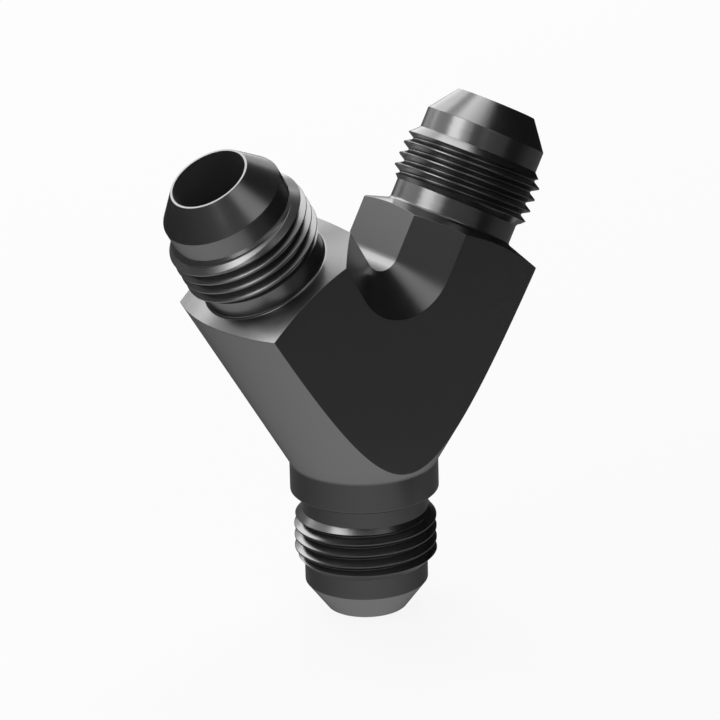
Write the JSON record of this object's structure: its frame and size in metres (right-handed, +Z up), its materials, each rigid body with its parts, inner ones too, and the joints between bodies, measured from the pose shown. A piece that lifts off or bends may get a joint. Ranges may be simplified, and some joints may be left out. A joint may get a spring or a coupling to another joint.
{
  "type": "tubing y connector",
  "caption": "Machined Y connector for tubing: a flat-sided block with equal male flare ports, joined by drilled passages.",
  "frame": {"origin": "centre of the bottom port's nose rim, on the surface the part stands on", "axes": "+Z up along the bottom port and between the branches, the branches lean towards -X and +X, the flat faces look along -Y and +Y"},
  "size_m": [0.0576, 0.0206, 0.0679],
  "materials": {
    "anodised": "satin black anodised, machined"
  },
  "bodies": {
    "root": {"y_body": "anodised"}
  },
  "joints": []
}
